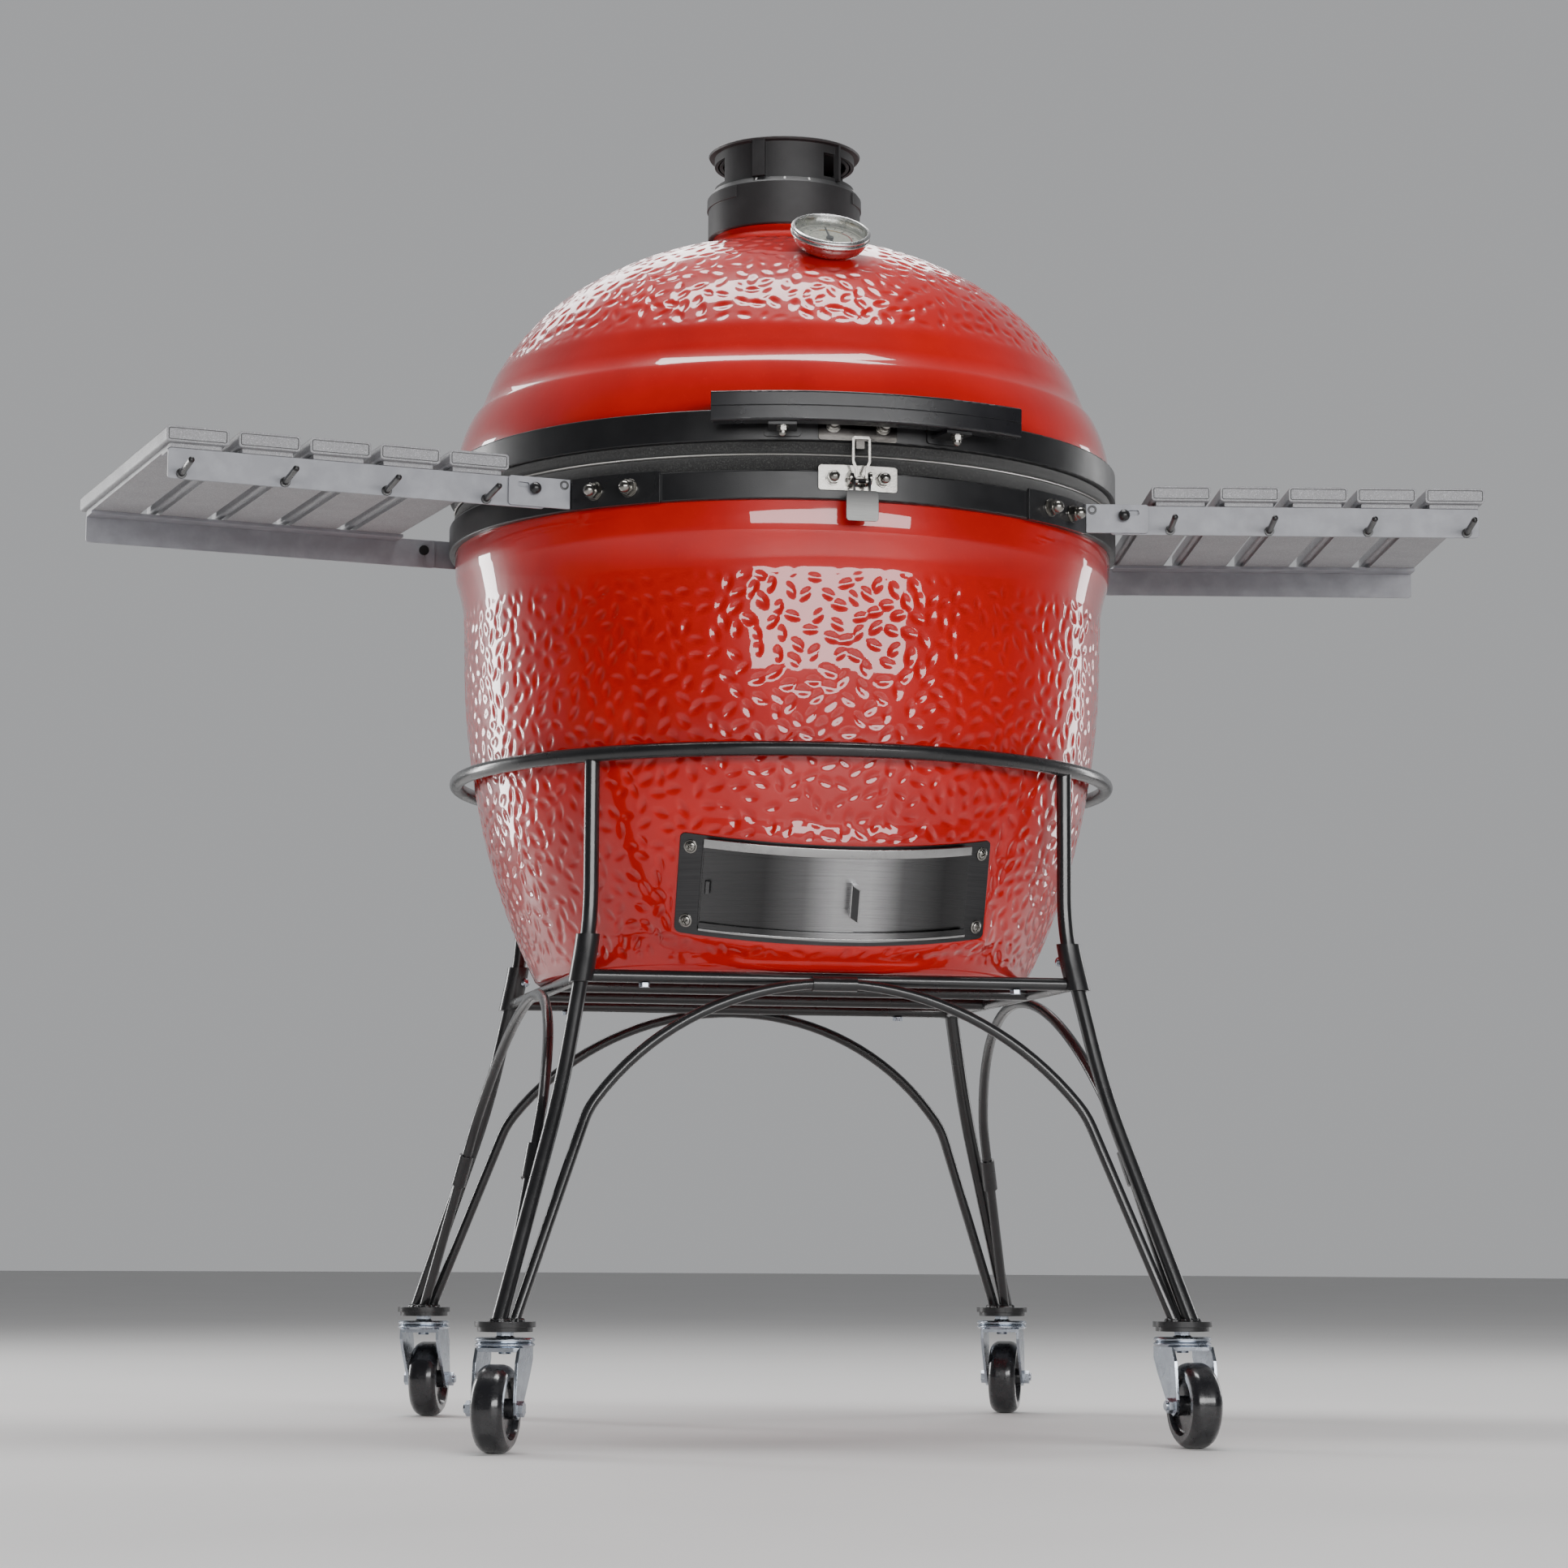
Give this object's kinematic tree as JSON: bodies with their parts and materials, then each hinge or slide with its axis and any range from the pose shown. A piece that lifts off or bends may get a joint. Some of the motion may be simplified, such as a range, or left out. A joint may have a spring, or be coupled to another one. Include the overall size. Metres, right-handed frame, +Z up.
{
  "type": "kamado ceramic grill",
  "caption": "Egg-shaped ceramic charcoal grill with a hinged lid, top vent, draft door and ash drawer, on a tubular caster cart with fold-down slatted shelves.",
  "frame": {"origin": "on the floor, under the axis of the ceramic body", "axes": "+Z up, -Y towards the front with the latch and draft door, +X to the right of a person facing the grill"},
  "size_m": [1.38, 0.7512, 1.2742],
  "materials": {
    "red_glaze": "thick glossy glaze over pressed leaf-shaped dimples",
    "band_black": "satin black powder coat",
    "felt": "woven heat-proof felt",
    "fireclay": "unglazed, rough",
    "grate_iron": "rough cast",
    "steel_bright": "satin stainless",
    "handle_satin": "satin moulded",
    "nickel": "nickel plated",
    "polished": "polished stainless",
    "dial": "matt cream print",
    "needle_black": "matt",
    "clear_glass": "clear, polished",
    "vent_iron": "matt black cast",
    "door_black": "satin black",
    "door_steel": "horizontal brushing",
    "cart_black": "semi-gloss black powder coat",
    "zinc": "bright zinc plate",
    "wheel_rubber": "smooth dark tread",
    "arm_grey": "satin grey powder coat",
    "slat_grey": "fine speckled moulded composite",
    "peg_black": "satin black"
  },
  "bodies": {
    "base": {"cart_ring": "cart_black", "cart_posts": "cart_black", "leg_tubes": "cart_black", "cross_bars": "cart_black", "end_arches": "cart_black", "side_arches": "cart_black", "arch_clamps": "cart_black", "caster_plates": "cart_black", "caster_races": "zinc", "cart_bolts": "zinc", "bowl": "red_glaze", "lower_band": "band_black", "lower_gasket": "felt", "firebox_panels": "fireclay", "charcoal_grate": "grate_iron", "grill_rack": "steel_bright", "cooking_grates": "steel_bright", "draft_frame": "door_black", "draft_screws": "door_steel", "shelf_feet": "cart_black", "shelf_hinge_plates": "arm_grey", "shelf_pins": "peg_black", "band_nuts": "nickel", "latch_base": "nickel", "hinge_lower": "band_black", "hinge_pin": "steel_bright", "hinge_spring": "steel_bright"},
    "lid": {"dome": "red_glaze", "upper_band": "band_black", "upper_gasket": "felt", "handle_bar": "handle_satin", "handle_brackets": "band_black", "latch_striker": "nickel", "lid_fasteners": "nickel", "gauge_case": "polished", "gauge_dial": "dial", "gauge_glass": "clear_glass", "vent_base": "vent_iron", "hinge_upper": "band_black"},
    "needle": {"gauge_needle": "needle_black"},
    "vent_cap": {"vent_cap": "vent_iron"},
    "latch_lever": {"latch_lever": "nickel"},
    "latch_loop": {"latch_loop": "nickel"},
    "shelf_left": {"shelf_arms_left": "arm_grey", "shelf_slats_left": "slat_grey", "shelf_hooks_left": "peg_black"},
    "shelf_right": {"shelf_arms_right": "arm_grey", "shelf_slats_right": "slat_grey", "shelf_hooks_right": "peg_black"},
    "ash_drawer": {"drawer_front": "door_steel", "ash_pan": "door_steel"},
    "draft_door": {"draft_door": "door_steel"},
    "fork_fl": {"caster_fork_fl": "zinc"},
    "wheel_fl": {"caster_wheel_fl": "wheel_rubber"},
    "fork_fr": {"caster_fork_fr": "zinc"},
    "wheel_fr": {"caster_wheel_fr": "wheel_rubber"},
    "fork_rl": {"caster_fork_rl": "zinc"},
    "wheel_rl": {"caster_wheel_rl": "wheel_rubber"},
    "fork_rr": {"caster_fork_rr": "zinc"},
    "wheel_rr": {"caster_wheel_rr": "wheel_rubber"}
  },
  "joints": [
    {"name": "lid_hinge", "type": "hinge", "parent": "base", "child": "lid", "pos_m": [0, 0.356, 0.9], "axis": [-1, 0, 0], "range_deg": [0, 70]},
    {"name": "gauge_needle_turn", "type": "hinge", "parent": "lid", "child": "needle", "pos_m": [0, -0.203, 1.1215], "axis": [0, -0.6018, 0.7986], "range_deg": [-250, 0]},
    {"name": "vent_turn", "type": "hinge", "parent": "lid", "child": "vent_cap", "pos_m": [0, 0, 1.24], "axis": [0, 0, 1], "range_deg": [0, 90]},
    {"name": "latch_lever_pivot", "type": "hinge", "parent": "base", "child": "latch_lever", "pos_m": [0, -0.341, 0.875], "axis": [-1, 0, 0], "range_deg": [0, 110]},
    {"name": "latch_loop_pivot", "type": "hinge", "parent": "latch_lever", "child": "latch_loop", "pos_m": [0, -0.346, 0.871], "axis": [-1, 0, 0], "range_deg": [-110, 0]},
    {"name": "ash_drawer_slide", "type": "slide", "parent": "base", "child": "ash_drawer", "axis": [0, -1, 0], "range_m": [0, 0.19]},
    {"name": "shelf_right_fold", "type": "hinge", "parent": "base", "child": "shelf_right", "pos_m": [0.31651, -0.05923, 0.873], "axis": [0.184, 0.9829, 0], "range_deg": [0, 90]},
    {"name": "shelf_left_fold", "type": "hinge", "parent": "base", "child": "shelf_left", "pos_m": [-0.31651, -0.05923, 0.873], "axis": [0.184, -0.9829, 0], "range_deg": [0, 90]},
    {"name": "draft_door_slide", "type": "hinge", "parent": "ash_drawer", "child": "draft_door", "pos_m": [0, -0.00553, 0.59079], "axis": [0, -0.3256, 0.9455], "range_deg": [0, 22.5]},
    {"name": "caster_swivel_fl", "type": "hinge", "parent": "base", "child": "fork_fl", "pos_m": [-0.311, -0.311, 0.09], "axis": [0, 0, 1], "continuous": true},
    {"name": "wheel_roll_fl", "type": "hinge", "parent": "fork_fl", "child": "wheel_fl", "pos_m": [-0.32155, -0.33585, 0.0383], "axis": [0.9205, -0.3907, 0], "continuous": true},
    {"name": "caster_swivel_fr", "type": "hinge", "parent": "base", "child": "fork_fr", "pos_m": [0.311, -0.311, 0.09], "axis": [0, 0, 1], "continuous": true},
    {"name": "wheel_roll_fr", "type": "hinge", "parent": "fork_fr", "child": "wheel_fr", "pos_m": [0.31288, -0.33793, 0.0383], "axis": [0.9976, 0.0698, 0], "continuous": true},
    {"name": "caster_swivel_rl", "type": "hinge", "parent": "base", "child": "fork_rl", "pos_m": [-0.311, 0.311, 0.09], "axis": [0, 0, 1], "continuous": true},
    {"name": "wheel_roll_rl", "type": "hinge", "parent": "fork_rl", "child": "wheel_rl", "pos_m": [-0.30177, 0.33637, 0.0383], "axis": [-0.9397, 0.342, 0], "continuous": true},
    {"name": "caster_swivel_rr", "type": "hinge", "parent": "base", "child": "fork_rr", "pos_m": [0.311, 0.311, 0.09], "axis": [0, 0, 1], "continuous": true},
    {"name": "wheel_roll_rr", "type": "hinge", "parent": "fork_rr", "child": "wheel_rr", "pos_m": [0.32111, 0.33603, 0.0383], "axis": [-0.9272, 0.3746, 0], "continuous": true}
  ],
  "couplings": [
    {"joint": "latch_loop_pivot", "follows": "latch_lever_pivot", "ratio": -1}
  ]
}
